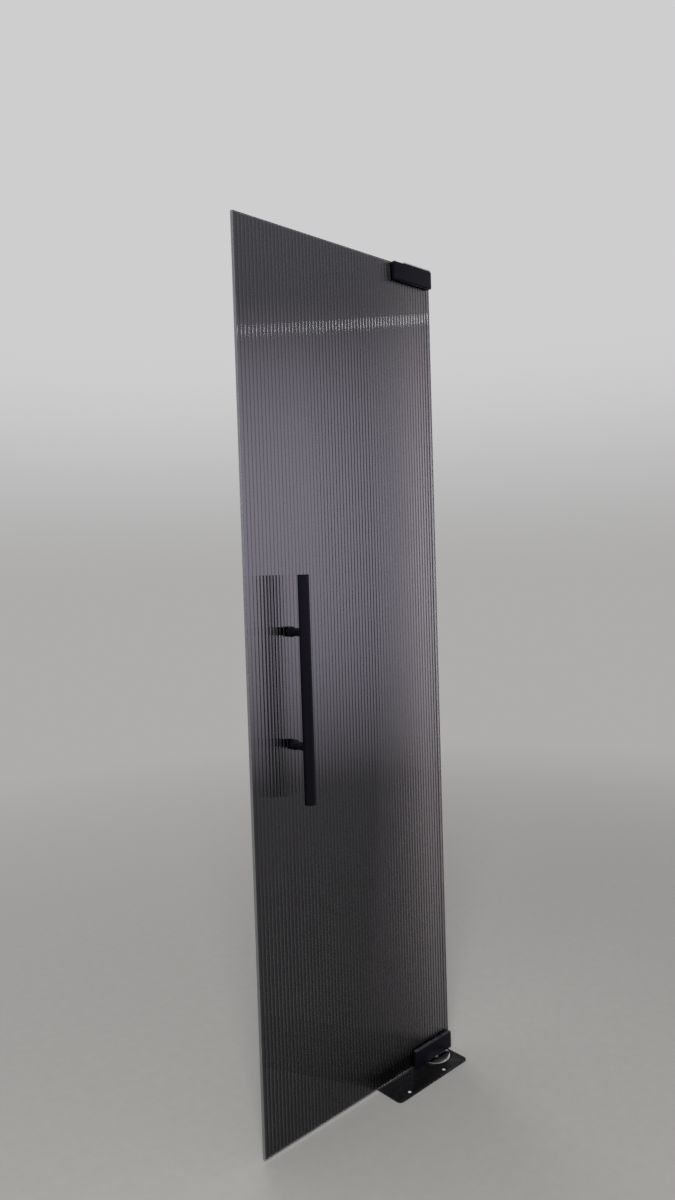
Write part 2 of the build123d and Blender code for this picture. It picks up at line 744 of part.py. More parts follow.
levelling_screw_top = closer_bottom + ear_lift + ear_height + levelling_screw_above
with BuildPart() as levelling_screws:
    with BuildSketch(Plane.XY.offset(case_wall)):
        with Locations(*ear_points):
            Circle(levelling_screw_radius)
    extrude(amount=levelling_screw_top - case_wall)
    with BuildSketch(Plane.XY.offset(levelling_screw_top)):
        with Locations(*ear_points):
            RegularPolygon(levelling_screw_key / 2, 6, major_radius=False)
    extrude(amount=-levelling_screw_key, mode=Mode.SUBTRACT)
save(levelling_screws, "levelling_screws")

# Floor case: an open steel tray with lugs for the cover plate's screws and four anchor holes
with BuildPart() as floor_case:
    with BuildSketch():
        with Locations((plate_x, 0)):
            RectangleRounded(case_length, case_width, case_corner)
    extrude(amount=case_depth)
    offset(amount=-case_wall, openings=faces().sort_by(Axis.Z)[-1], kind=Kind.INTERSECTION)
    with BuildSketch(Plane.XY.offset(floor_level)):
        with Locations(*case_lug_points):
            Rectangle(case_lug_length, case_lug_outer_y - case_lug_inner_y)
    extrude(amount=-case_lug_height)
    with BuildSketch(Plane.XY.offset(floor_level)):
        with Locations(*plate_screw_points):
            Circle(plate_screw_radius + snug)
    extrude(amount=-case_lug_height, mode=Mode.SUBTRACT)
    with BuildSketch():
        with Locations((plate_x, 0)):
            with GridLocations(anchor_spacing_x, anchor_spacing_y, 2, 2):
                Circle(anchor_hole_radius)
    extrude(amount=case_wall, mode=Mode.SUBTRACT)
save(floor_case, "floor_case")

# Cover plate on the floor, with the ring about the spindle let into it
with BuildPart() as cover_plate:
    with BuildSketch(Plane.XY.offset(floor_level)):
        with Locations((plate_x, 0)):
            RectangleRounded(plate_length, plate_width, plate_corner)
    extrude(amount=plate_thickness)
    chamfer(faces().sort_by(Axis.Z)[-1].edges(), length=plate_edge)
    with BuildSketch(Plane.XY.offset(floor_level)):
        Circle(ring_spigot_radius + snug)
    extrude(amount=plate_thickness, mode=Mode.SUBTRACT)
    with Locations((0, 0, plate_top)):
        with Locations(*plate_screw_points):
            CounterSinkHole(
                radius=plate_screw_radius + snug,
                counter_sink_radius=plate_screw_head_radius + snug,
                depth=plate_thickness,
            )
save(cover_plate, "cover_plate")

with BuildPart() as spindle_ring:
    with BuildSketch(Plane.XY.offset(plate_top)):
        Circle(ring_radius)
    extrude(amount=ring_height)
    chamfer(faces().sort_by(Axis.Z)[-1].edges(), length=ring_edge)
    with BuildSketch(Plane.XY.offset(floor_level)):
        Circle(ring_spigot_radius)
    extrude(amount=plate_thickness)
    with BuildSketch(Plane.XY.offset(floor_level)):
        Circle(spindle_radius + spindle_hole_clearance)
    extrude(amount=plate_thickness + ring_height, mode=Mode.SUBTRACT)
save(spindle_ring, "spindle_ring")

with BuildPart() as cover_plate_screws:
    with BuildSketch(Plane.XY.offset(plate_screw_top)):
        with Locations(*plate_screw_points):
            Circle(plate_screw_head_radius - plate_screw_sink)
    extrude(amount=plate_screw_radius + plate_screw_sink - plate_screw_head_radius, taper=45)
    with BuildSketch(Plane.XY.offset(plate_screw_top)):
        with Locations(*plate_screw_points):
            Circle(plate_screw_radius)
    extrude(amount=-plate_screw_length)
    with BuildSketch(Plane.XY.offset(plate_screw_top)):
        with Locations(*plate_screw_points):
            RegularPolygon(plate_screw_key / 2, 6, major_radius=False)
    extrude(amount=-plate_screw_key, mode=Mode.SUBTRACT)
save(cover_plate_screws, "cover_plate_screws")
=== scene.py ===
from math import acos, pi, radians, sqrt

import bmesh
import bpy
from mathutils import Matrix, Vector


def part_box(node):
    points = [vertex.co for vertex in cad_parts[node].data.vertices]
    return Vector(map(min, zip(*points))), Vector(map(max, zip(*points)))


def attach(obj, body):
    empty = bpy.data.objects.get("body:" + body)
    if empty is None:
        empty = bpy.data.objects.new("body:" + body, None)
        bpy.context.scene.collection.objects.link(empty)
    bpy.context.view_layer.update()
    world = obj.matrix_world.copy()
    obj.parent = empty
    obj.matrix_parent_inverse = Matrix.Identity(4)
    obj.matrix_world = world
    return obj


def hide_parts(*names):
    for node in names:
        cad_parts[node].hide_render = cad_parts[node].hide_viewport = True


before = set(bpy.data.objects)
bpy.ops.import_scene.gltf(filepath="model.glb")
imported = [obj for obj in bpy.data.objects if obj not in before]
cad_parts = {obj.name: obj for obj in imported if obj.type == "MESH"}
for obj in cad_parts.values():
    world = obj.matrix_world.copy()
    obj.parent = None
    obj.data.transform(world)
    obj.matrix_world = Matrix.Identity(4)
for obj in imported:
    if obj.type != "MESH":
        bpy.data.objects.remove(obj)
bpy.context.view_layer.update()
scene = bpy.context.scene
scene.view_settings.view_transform = "Standard"
fixedBody = "fixed_fittings"
leafBody = "leaf"
# how near two places, points of a profile, directions and normals have to be to count as the same
samePlace, samePoint, sameWay, flatWay = 0.00003, 0.000004, 0.999, 0.9
# a piece that stands upright, and one whose own Z axis points to the front
upright, facing = (0, 0, 0), (pi / 2, 0, 0)
smoothAngle = radians(30)
print("frame loaded:", len(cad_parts), "nodes")


# helpers for work in edit mode
def deselectAll():
    if bpy.context.object and bpy.context.object.mode != "OBJECT":
        bpy.ops.object.mode_set(mode="OBJECT")
    bpy.ops.object.select_all(action="DESELECT")


def makeActive(piece):
    deselectAll()
    piece.select_set(True)
    bpy.context.view_layer.objects.active = piece


def openForEdit(piece):
    makeActive(piece)
    bpy.ops.object.mode_set(mode="EDIT")


def pick(kind, wanted):
    # selects what wanted() says, by place or by normal
    bpy.ops.mesh.select_mode(type=kind)
    bpy.ops.mesh.select_all(action="DESELECT")
    openMesh = bmesh.from_edit_mesh(bpy.context.object.data)
    parts = {"VERT": openMesh.verts, "EDGE": openMesh.edges, "FACE": openMesh.faces}[kind]
    for part in parts:
        part.select_set(bool(wanted(part)))
    bmesh.update_edit_mesh(bpy.context.object.data)


def isAt(edge, axis, place):
    return all(abs(end.co[axis] - place) < samePlace for end in edge.verts)


def alongAxis(edge, axis):
    run = edge.verts[1].co - edge.verts[0].co
    return run.length > 0 and abs(run[axis]) > sameWay * run.length


def turnFacesOut():
    bpy.ops.mesh.select_all(action="SELECT")
    bpy.ops.mesh.normals_make_consistent(inside=False)


def applyModifier(piece, kind, **settings):
    makeActive(piece)
    bpy.ops.object.modifier_add(type=kind)
    modifier = piece.modifiers[-1]
    for name, value in settings.items():
        setattr(modifier, name, value)
    bpy.ops.object.modifier_apply(modifier=modifier.name)


def applyPlace(piece):
    makeActive(piece)
    bpy.ops.object.transform_apply(location=True, rotation=True, scale=True)


def cutAway(piece, cutter):
    applyPlace(cutter)
    applyModifier(piece, "BOOLEAN", operation="DIFFERENCE", solver="EXACT", object=cutter)
    bpy.data.objects.remove(cutter, do_unlink=True)


def roundEdges(piece, width, segments=2, angle=35):
    applyModifier(piece, "BEVEL", width=width, segments=segments, limit_method="ANGLE",
                  angle_limit=radians(angle), harden_normals=True)


def makeShell(piece, thickness):
    applyModifier(piece, "SOLIDIFY", thickness=thickness, offset=-1, use_even_offset=True)


def blockAt(low, high):
    low, high = Vector(low), Vector(high)
    deselectAll()
    bpy.ops.mesh.primitive_cube_add(size=1, location=(low + high) / 2, scale=high - low)
    block = bpy.context.object
    applyPlace(block)
    return block


def rodAt(centre, radius, length, turn=upright, sides=64):
    deselectAll()
    bpy.ops.mesh.primitive_cylinder_add(vertices=sides, radius=radius, depth=length,
                                        location=centre, rotation=turn)
    rod = bpy.context.object
    applyPlace(rod)
    return rod


def roundedCorner(radius, height, size, up=1, middle=0.3):
    # three points that round an outer corner of a lathe profile, the last one on its end face
    return [(radius, height - up * size), (radius - middle * size, height - up * middle * size),
            (radius - size, height)]


def turnOnLathe(profile, centre, turn=upright, steps=64):
    # profile is a list of (radius, height), drawn by extruding one point, then spun about Z
    deselectAll()
    bpy.ops.mesh.primitive_plane_add(size=0.01)
    turned = bpy.context.object
    openForEdit(turned)
    bpy.ops.mesh.select_mode(type="VERT")
    bpy.ops.mesh.select_all(action="SELECT")
    bpy.ops.mesh.merge(type="CENTER")
    bpy.ops.transform.translate(value=(profile[0][0], 0, profile[0][1]))
    for (radius, height), (nextRadius, nextHeight) in zip(profile, profile[1:]):
        bpy.ops.mesh.extrude_vertices_move(
            TRANSFORM_OT_translate={"value": (nextRadius - radius, 0, nextHeight - height)})
    bpy.ops.mesh.select_all(action="SELECT")
    bpy.ops.mesh.spin(steps=steps, angle=2 * pi, center=(0, 0, 0), axis=(0, 0, 1))
    bpy.ops.mesh.select_all(action="SELECT")
    bpy.ops.mesh.remove_doubles(threshold=samePoint)
    turnFacesOut()
    bpy.ops.object.mode_set(mode="OBJECT")
    turned.location = centre
    turned.rotation_euler = turn
    applyPlace(turned)
    return turned


def copyAt(piece, offset):
    makeActive(piece)
    bpy.ops.object.duplicate(linked=False)
    twin = bpy.context.object
    twin.location = offset
    applyPlace(twin)
    return twin


def mirrorCopy(piece, axis, plane=0.0):
    # a copy with its own mesh, mirrored in the plane that stands at that place on the axis
    makeActive(piece)
    bpy.ops.object.duplicate(linked=False)
    twin = bpy.context.object
    twin.scale[axis] = -1
    twin.location[axis] = 2 * plane
    applyPlace(twin)
    openForEdit(twin)
    turnFacesOut()
    bpy.ops.object.mode_set(mode="OBJECT")
    return twin


def joinPieces(first, *others):
    deselectAll()
    for piece in (first, *others):
        piece.select_set(True)
    bpy.context.view_layer.objects.active = first
    bpy.ops.object.join()


def finishPiece(piece, name, body, slotName, material, *nodes):
    applyPlace(piece)
    bpy.ops.object.shade_smooth_by_angle(angle=smoothAngle)
    piece.name = name
    piece.data.name = name
    piece.data.materials.clear()
    piece.data.materials.append(material)
    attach(piece, body)
    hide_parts(*nodes)


# helpers for node trees
def addNode(tree, kind, values=None, **settings):
    node = tree.nodes.new(kind)
    for name, value in settings.items():
        setattr(node, name, value)
    for name, value in (values or {}).items():
        node.inputs[name].default_value = value
    return node


def feed(tree, value, socket):
    # value is a socket, a colour or a number
    if isinstance(value, bpy.types.NodeSocket):
        tree.links.new(value, socket)
    elif isinstance(value, tuple):
        socket.default_value = (*value, 1.0)
    else:
        socket.default_value = value


def addMath(tree, operation, first, second=None, clamp=False):
    node = addNode(tree, "ShaderNodeMath", operation=operation, use_clamp=clamp)
    feed(tree, first, node.inputs[0])
    if second is not None:
        feed(tree, second, node.inputs[1])
    return node.outputs[0]


def addRange(tree, value, band, toBand=(0.0, 1.0), kind="LINEAR"):
    node = addNode(tree, "ShaderNodeMapRange", {
        "From Min": band[0], "From Max": band[1], "To Min": toBand[0], "To Max": toBand[1]},
        interpolation_type=kind)
    feed(tree, value, node.inputs["Value"])
    return node.outputs["Result"]


def addMix(tree, share, first, second):
    # the numbers are those of the share, the two colours and the mixed colour in a Mix node
    node = addNode(tree, "ShaderNodeMix", data_type="RGBA")
    for i, value in ((0, share), (6, first), (7, second)):
        feed(tree, value, node.inputs[i])
    return node.outputs[2]


def addNoise(tree, vector, scale, detail=3.0, roughness=0.55):
    node = addNode(tree, "ShaderNodeTexNoise", {"Detail": detail, "Roughness": roughness})
    feed(tree, vector, node.inputs["Vector"])
    feed(tree, scale, node.inputs["Scale"])
    return node.outputs["Fac"]


def objectPlace(tree):
    return tree.nodes.new("ShaderNodeTexCoord").outputs["Object"]


def splitAxes(tree, vector):
    node = tree.nodes.new("ShaderNodeSeparateXYZ")
    tree.links.new(vector, node.inputs[0])
    return node.outputs


def stretched(tree, vector, scale, turn=0.0):
    node = addNode(tree, "ShaderNodeMapping", {"Rotation": (0, 0, turn), "Scale": scale})
    tree.links.new(vector, node.inputs["Vector"])
    return node.outputs["Vector"]


def startGroup(name, inputs, outputs):
    group = bpy.data.node_groups.new(name, "ShaderNodeTree")
    kind = "NodeSocketFloat"
    for label, value in inputs.items():
        socket = group.interface.new_socket(name=label, in_out="INPUT", socket_type=kind)
        socket.default_value = value
    for label in outputs:
        group.interface.new_socket(name=label, in_out="OUTPUT", socket_type=kind)
    given = group.nodes.new("NodeGroupInput").outputs
    return group, given, group.nodes.new("NodeGroupOutput").inputs


# effects that the finishes share; a band is the part of a value's reach that is spread out
effectValues = {
    "edgeMaskSamples": 4, "edgeMaskBand": (0.995, 0.86), "edgeMaskBreaks": (0.42, 0.62),
    "edgeMaskScale": 180.0, "edgeMaskDetail": 4.0,
    "grainDetail": 2.0, "patchDetail": 5.0, "plainRoughness": 0.5,
    "upFacingSlope": (0.35, 0.95), "upFacingScale": 60.0, "upFacingDetail": 8.0, "upFacingRoughness": 0.7,
    "upFacingPatches": (0.36, 0.68), "upFacingDulls": 0.4,
    "scuffWays": ((0.5, (700, 9, 30)), (-0.9, (520, 14, 30))), "scuffBand": (0.69, 0.76),
    "lineDetail": 2.0, "castDetail": 6.0, "castRoughness": 0.7,
    "metalPatches": 30.0, "solidPatches": 45.0,
    "glossBand": (0.3, 0.7), "toneBand": (0.25, 0.75), "bumpDepth": 0.0001,
}


def makeEdgeWearAndPaintedHighlight():
    # 1 along outer edges, broken up by noise: worn bare edges, which on the patch covers and the
    #                                          floor plate are also a painted edge highlight
    v = effectValues
    group, given, out = startGroup("edgeWearAndPaintedHighlight", {"Radius": 0.0006, "Amount": 0.5}, ["Mask"])
    bevel = addNode(group, "ShaderNodeBevel", samples=v["edgeMaskSamples"])
    group.links.new(given["Radius"], bevel.inputs["Radius"])
    geometry = group.nodes.new("ShaderNodeNewGeometry")
    turned = addNode(group, "ShaderNodeVectorMath", operation="DOT_PRODUCT")
    group.links.new(bevel.outputs["Normal"], turned.inputs[0])
    group.links.new(geometry.outputs["Normal"], turned.inputs[1])
    edge = addRange(group, turned.outputs["Value"], v["edgeMaskBand"])
    place = objectPlace(group)
    noise = addNoise(group, place, v["edgeMaskScale"], v["edgeMaskDetail"], v["plainRoughness"])
    wornAndHighlit = addMath(group, "MULTIPLY", edge, addRange(group, noise, v["edgeMaskBreaks"]))
    group.links.new(addMath(group, "MULTIPLY", wornAndHighlit, given["Amount"], clamp=True), out["Mask"])
    return group


def makeCoatGrain():
    # fine orange peel of a powder coat or enamel, and broad unevenness of its gloss
    v = effectValues
    group, given, out = startGroup(
        "coatGrain", {"GrainScale": 1500.0, "PatchScale": 14.0}, ["Height", "Patches"])
    place = objectPlace(group)
    for label, scale, detail in (("Height", "GrainScale", "grainDetail"),
                                 ("Patches", "PatchScale", "patchDetail")):
        noise = addNoise(group, place, given[scale], v[detail], v["plainRoughness"])
        group.links.new(noise, out[label])
    return group


def makeDustAndPaintedTopLight():
    # lighter on faces that look up, thicker in patches: dust, and on the patch covers a painted top
    # light
    v = effectValues
    group, given, out = startGroup("dustAndPaintedTopLightGroup", {"Amount": 0.3}, ["Mask"])
    geometry = group.nodes.new("ShaderNodeNewGeometry")
    upward = addRange(group, splitAxes(group, geometry.outputs["Normal"])["Z"], v["upFacingSlope"])
    noise = addNoise(group, objectPlace(group), v["upFacingScale"], v["upFacingDetail"], v["upFacingRoughness"])
    amount = addMath(group, "MULTIPLY", addRange(group, noise, v["upFacingPatches"]), given["Amount"])
    group.links.new(addMath(group, "MULTIPLY", upward, amount, clamp=True), out["Mask"])
    return group


def makeScuffs():
    # thin scratches in two directions, where feet have passed
    v = effectValues
    group, given, out = startGroup("scuffs", {"Amount": 0.5}, ["Mask"])
    place = objectPlace(group)
    masks = []
    for turn, scale in v["scuffWays"]:
        noise = addNoise(group, stretched(group, place, scale, turn), 1.0, v["lineDetail"])
        masks.append(addRange(group, noise, v["scuffBand"]))
    both = addMath(group, "MAXIMUM", *masks)
    group.links.new(addMath(group, "MULTIPLY", both, given["Amount"]), out["Mask"])
    return group


def makeTurnedLines():
    # fine rings about the pivot axis, as a lathe leaves them
    group, given, out = startGroup("turnedLines", {"Spacing": 4200.0}, ["Height"])
    axes = splitAxes(group, objectPlace(group))
    squares = [addMath(group, "MULTIPLY", axes[way], axes[way]) for way in ("X", "Y")]
    distance = addMath(group, "SQRT", addMath(group, "ADD", *squares))
    joined = group.nodes.new("ShaderNodeCombineXYZ")
    for value, way in ((distance, "X"), (axes["Z"], "Z")):
        spaced = addMath(group, "MULTIPLY", value, given["Spacing"])
        group.links.new(spaced, joined.inputs[way])
    noise = addNoise(group, joined.outputs[0], 1.0, effectValues["lineDetail"])
    group.links.new(noise, out["Height"])
    return group


edgeWearAndPaintedHighlight, coatGrain, dustAndPaintedTopLightGroup = makeEdgeWearAndPaintedHighlight(), makeCoatGrain(), makeDustAndPaintedTopLight()
scuffs, turnedLines = makeScuffs(), makeTurnedLines()


def placeGroup(tree, group, **values):
    node = tree.nodes.new("ShaderNodeGroup")
    node.node_tree = group
    for name, value in values.items():
        node.inputs[name].default_value = value
    return node.outputs


def startMaterial(name, **shaderValues):
    material = bpy.data.materials.new(name)
    material.use_nodes = True
    tree = material.node_tree
    shader = tree.nodes["Principled BSDF"]
    for label, value in shaderValues.items():
        shader.inputs[label.replace("_", " ")].default_value = value
    return material, tree, shader.inputs


def addBump(tree, height, normalSocket, strength):
    bump = addNode(tree, "ShaderNodeBump", {
        "Strength": strength, "Distance": effectValues["bumpDepth"]})
    tree.links.new(height, bump.inputs["Height"])
    tree.links.new(bump.outputs["Normal"], normalSocket)


def addGloss(tree, patches, rough):
    return addRange(tree, patches, effectValues["glossBand"], rough)


def makeCoatedMetal(name, v):
    # powder coat or enamel: uneven gloss, fine grain, bare edges, dust and scuffs; the light edges
    # and lighter tops are partly painted highlight and painted top light
    material, tree, sockets = startMaterial(name, Specular_IOR_Level=v["specular"])
    grain = placeGroup(tree, coatGrain, GrainScale=v["grainScale"], PatchScale=v["patchScale"])
    wearAndPaintedHighlight = placeGroup(tree, edgeWearAndPaintedHighlight, Amount=v["wearAndPaintedHighlight"], Radius=v["edgeMaskRadius"])["Mask"]
    dustAndPaintedTopLight = placeGroup(tree, dustAndPaintedTopLightGroup, Amount=v["dustAndPaintedTopLight"])["Mask"]
    scuff = placeGroup(tree, scuffs, Amount=v["scuff"])["Mask"]
    colour = addMix(tree, grain["Patches"], v["dark"], v["light"])
    for mask, over in ((scuff, "scuffColour"), (wearAndPaintedHighlight, "bareAndPaintedHighlight"), (dustAndPaintedTopLight, "dustAndPaintedTopLightColour")):
        colour = addMix(tree, mask, colour, v[over])
    tree.links.new(colour, sockets["Base Color"])
    dull = addMath(tree, "MULTIPLY", dustAndPaintedTopLight, effectValues["upFacingDulls"])
    gloss = addMath(tree, "ADD", addGloss(tree, grain["Patches"], v["rough"]), dull, clamp=True)
    tree.links.new(gloss, sockets["Roughness"])
    tree.links.new(addMath(tree, "MULTIPLY", wearAndPaintedHighlight, v["edgeMetallic"]), sockets["Metallic"])
    addBump(tree, grain["Height"], sockets["Normal"], v["bump"])
    return material


def makeBareMetal(name, v):
    # turned, cast or rolled metal with no coat
    material, tree, sockets = startMaterial(name)
    e = effectValues
    if v["finish"] == "turned":
        height = placeGroup(tree, turnedLines)["Height"]
    elif v["finish"] == "spangle":
        cells = addNode(tree, "ShaderNodeTexVoronoi", {"Scale": v["scale"]}, feature="F1")
        tree.links.new(objectPlace(tree), cells.inputs["Vector"])
        # the product makes one number of the colour of each cell
        height = addMath(tree, "MULTIPLY", cells.outputs["Color"], 1.0)
    else:
        place = objectPlace(tree)
        height = addNoise(tree, place, v["scale"], e["castDetail"], e["castRoughness"])
    patches = placeGroup(tree, coatGrain, PatchScale=e["metalPatches"])["Patches"]
    tone = addRange(tree, height, e["toneBand"])
    wearAndPaintedHighlight = placeGroup(tree, edgeWearAndPaintedHighlight, Amount=v["wearAndPaintedHighlight"])["Mask"]
    tint = addMix(tree, wearAndPaintedHighlight, addMix(tree, tone, v["dark"], v["light"]), v["bareAndPaintedHighlight"])
    tree.links.new(tint, sockets["Base Color"])
    tree.links.new(addGloss(tree, patches, v["rough"]), sockets["Roughness"])
    sockets["Metallic"].default_value = v["metallic"]
    addBump(tree, height, sockets["Normal"], v["bump"])
    return material


def makeSoftSolid(name, v):
    # rubber, fibre and plastic: a mottled colour with a fine grain
    material, tree, sockets = startMaterial(name)
    patchScale = effectValues["solidPatches"]
    grain = placeGroup(tree, coatGrain, GrainScale=v["scale"], PatchScale=patchScale)
    tint = addMix(tree, grain["Patches"], v["dark"], v["light"])
    tree.links.new(tint, sockets["Base Color"])
    tree.links.new(addGloss(tree, grain["Patches"], v["rough"]), sockets["Roughness"])
    addBump(tree, grain["Height"], sockets["Normal"], v["bump"])
    return material


# glass: the shape of the leaf, which its finish needs too, and the finish
leafValues = {
    "pitch": 0.012, "radius": 0.012, "depth": 0.0015, "flutes": 61, "firstFlute": -0.672,
    "steps": 14, "merge": 0.00002, "ridgeRound": 0.00012, "arris": 0.0008,
    "notchLength": 0.116, "notchHeight": 0.032, "notchRadius": 0.008, "notchSteps": 8,
    "holeRadius": 0.008, "handleX": -0.533, "postSpacing": 0.300, "through": 0.04, "edgeWay": 0.8,
}
glassValues = {
    "ior": 1.52, "sheen": (0.62, 0.62, 0.64, 1.0), "rough": (0.0, 0.005),
    # the thin and thick tints are partly painted light and shade lines across the flutes
    "thinAndPaintedLight": (0.070, 0.066, 0.076), "thickAndPaintedShade": (0.010, 0.0095, 0.011), "plain": (0.052, 0.049, 0.057),
    "ridgeBand": (0.30, 0.47), "smudgeScale": 7.0, "smudgeDetail": 5.0, "smudgeRoughness": 0.6,
    "smudgeBand": (0.35, 0.75), "smudgeFades": (0.0, 0.12), "smudgeDulls": (0.35, 0.72),
    # the seam tint is a painted highlight along both ends
    "seamAndHighlightWidth": 0.005, "seamAndHighlightBand": (0.12, 0.34), "seamPaintedHighlight": (0.55, 0.55, 0.56), "seamRough": 0.35,
    "edgeClear": 0.75, "edgeTint": (0.34, 0.37, 0.37), "edgeLighter": 1.25,
    "edgeRough": (0.42, 0.62), "edgeScale": (900, 900, 60), "edgeBump": 0.2,
}


def makeGlassFace(name, fluted):
    # grey body tint, lighter where a flute leaves the glass thin and darker where it is thick, with
    # the contrast pushed past the thickness alone into painted light and shade lines, and a film of
    # hand grease that takes the lighter tint
    v = glassValues
    material, tree, sockets = startMaterial(
        name, Transmission_Weight=1.0, IOR=v["ior"], Specular_Tint=v["sheen"])
    place = objectPlace(tree)
    patches = addNoise(tree, place, v["smudgeScale"], v["smudgeDetail"], v["smudgeRoughness"])
    tint = v["plain"]
    if fluted:
        axes = splitAxes(tree, place)
        fromFirst = addMath(tree, "SUBTRACT", axes["X"], leafValues["firstFlute"])
        turns = addMath(tree, "DIVIDE", fromFirst, leafValues["pitch"])
        fromMiddle = addMath(tree, "SUBTRACT", addMath(tree, "FRACT", turns), 0.5)
        fromMiddle = addMath(tree, "ABSOLUTE", fromMiddle)
        tint = addMix(tree, addRange(tree, fromMiddle, v["ridgeBand"]), v["thinAndPaintedLight"], v["thickAndPaintedShade"])
    film = addRange(tree, patches, v["smudgeBand"], v["smudgeFades"])
    tint = addMix(tree, film, tint, v["thinAndPaintedLight"])
    rough = addRange(tree, patches, v["smudgeDulls"], v["rough"])
    if fluted:
        # the ground seam along both ends is rougher, and the dotted light line where it runs over
        # the flutes is a painted highlight
        low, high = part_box("glass_leaf")
        half = (high.z - low.z) / 2
        fromCentre = addMath(tree, "SUBTRACT", axes["Z"], (low.z + high.z) / 2)
        fromCentre = addMath(tree, "ABSOLUTE", fromCentre)
        atEnd = addRange(tree, fromCentre, (half - v["seamAndHighlightWidth"], half - v["seamAndHighlightWidth"] / 2))
        dottedSeamAndHighlight = addMath(tree, "MULTIPLY", atEnd, addRange(tree, fromMiddle, v["seamAndHighlightBand"]))
        tint = addMix(tree, dottedSeamAndHighlight, tint, v["seamPaintedHighlight"])
        ground = addMath(tree, "MULTIPLY", dottedSeamAndHighlight, v["seamRough"])
        rough = addMath(tree, "MAXIMUM", rough, ground)
    tree.links.new(tint, sockets["Base Color"])
    tree.links.new(rough, sockets["Roughness"])
    return material


def makeGroundEdge():
    # seamed and polished edge of the glass, milkier than its faces
    v = glassValues
    material, tree, sockets = startMaterial(
        "groundEdge", Transmission_Weight=v["edgeClear"], IOR=v["ior"])
    grinding = addNoise(tree, stretched(tree, objectPlace(tree), v["edgeScale"]), 1.0)
    light = tuple(v["edgeLighter"] * c for c in v["edgeTint"])
    tree.links.new(addMix(tree, grinding, v["edgeTint"], light), sockets["Base Color"])
    tree.links.new(addGloss(tree, grinding, v["edgeRough"]), sockets["Roughness"])
    addBump(tree, grinding, sockets["Normal"], v["edgeBump"])
    return material


# finishes
blackCoat = makeCoatedMetal("blackCoat", {
    "dark": (0.0030, 0.0031, 0.0050), "light": (0.0050, 0.0050, 0.0080), "specular": 0.06,
    "rough": (0.28, 0.38), "grainScale": 1700.0, "patchScale": 16.0, "bump": 0.12,
    "wearAndPaintedHighlight": 0.10, "edgeMaskRadius": 0.0006, "bareAndPaintedHighlight": (0.10, 0.10, 0.11), "edgeMetallic": 0.3,
    "dustAndPaintedTopLight": 0.08, "dustAndPaintedTopLightColour": (0.16, 0.15, 0.14),
    "scuff": 0.02, "scuffColour": (0.05, 0.05, 0.05)})
# the bluish lighter tops are a painted top light, and the light edge line is worn edge and painted
# edge highlight
patchCoat = makeCoatedMetal("patchCoat", {
    "dark": (0.0032, 0.0031, 0.0062), "light": (0.0048, 0.0047, 0.0092), "specular": 0.07,
    "rough": (0.30, 0.42), "grainScale": 1700.0, "patchScale": 14.0, "bump": 0.12,
    "wearAndPaintedHighlight": 0.5, "edgeMaskRadius": 0.0012, "bareAndPaintedHighlight": (0.16, 0.16, 0.18), "edgeMetallic": 0.2,
    "dustAndPaintedTopLight": 0.5, "dustAndPaintedTopLightColour": (0.13, 0.13, 0.15),
    "scuff": 0.03, "scuffColour": (0.05, 0.05, 0.05)})
# the light bare edges are worn metal and also a painted edge highlight
blackPlate = makeCoatedMetal("blackPlate", {
    "dark": (0.0030, 0.0028, 0.0036), "light": (0.0050, 0.0048, 0.0060), "specular": 0.12,
    "rough": (0.20, 0.34), "grainScale": 700.0, "patchScale": 22.0, "bump": 0.08,
    "wearAndPaintedHighlight": 0.85, "edgeMaskRadius": 0.0009, "bareAndPaintedHighlight": (0.42, 0.41, 0.40), "edgeMetallic": 0.8,
    "dustAndPaintedTopLight": 0.04, "dustAndPaintedTopLightColour": (0.17, 0.155, 0.14),
    "scuff": 0.12, "scuffColour": (0.07, 0.067, 0.062)})
paintedIron = makeCoatedMetal("paintedIron", {
    "dark": (0.10, 0.108, 0.115), "light": (0.15, 0.158, 0.165), "specular": 0.4,
    "rough": (0.45, 0.62), "grainScale": 420.0, "patchScale": 12.0, "bump": 0.55,
    "wearAndPaintedHighlight": 0.6, "edgeMaskRadius": 0.0012, "bareAndPaintedHighlight": (0.30, 0.29, 0.28), "edgeMetallic": 0.6,
    "dustAndPaintedTopLight": 0.3, "dustAndPaintedTopLightColour": (0.25, 0.23, 0.21),
    "scuff": 0.1, "scuffColour": (0.22, 0.22, 0.22)})
darkScrew = makeCoatedMetal("darkScrew", {
    "dark": (0.018, 0.018, 0.020), "light": (0.03, 0.03, 0.032), "specular": 0.5,
    "rough": (0.28, 0.42), "grainScale": 2400.0, "patchScale": 90.0, "bump": 0.1,
    "wearAndPaintedHighlight": 0.5, "edgeMaskRadius": 0.0004, "bareAndPaintedHighlight": (0.30, 0.29, 0.28), "edgeMetallic": 0.7,
    "dustAndPaintedTopLight": 0.1, "dustAndPaintedTopLightColour": (0.2, 0.19, 0.17),
    "scuff": 0.0, "scuffColour": (0.1, 0.1, 0.1)})
turnedSteel = makeBareMetal("turnedSteel", {
    "finish": "turned", "dark": (0.46, 0.46, 0.47), "light": (0.62, 0.62, 0.63),
    "bareAndPaintedHighlight": (0.75, 0.75, 0.76), "wearAndPaintedHighlight": 0.4, "rough": (0.22, 0.34), "metallic": 1.0, "bump": 0.12})
brightRing = makeBareMetal("brightRing", {
    "finish": "turned", "dark": (0.50, 0.495, 0.50), "light": (0.60, 0.595, 0.60),
    "bareAndPaintedHighlight": (0.72, 0.72, 0.72), "wearAndPaintedHighlight": 0.5, "rough": (0.12, 0.20), "metallic": 1.0, "bump": 0.10})
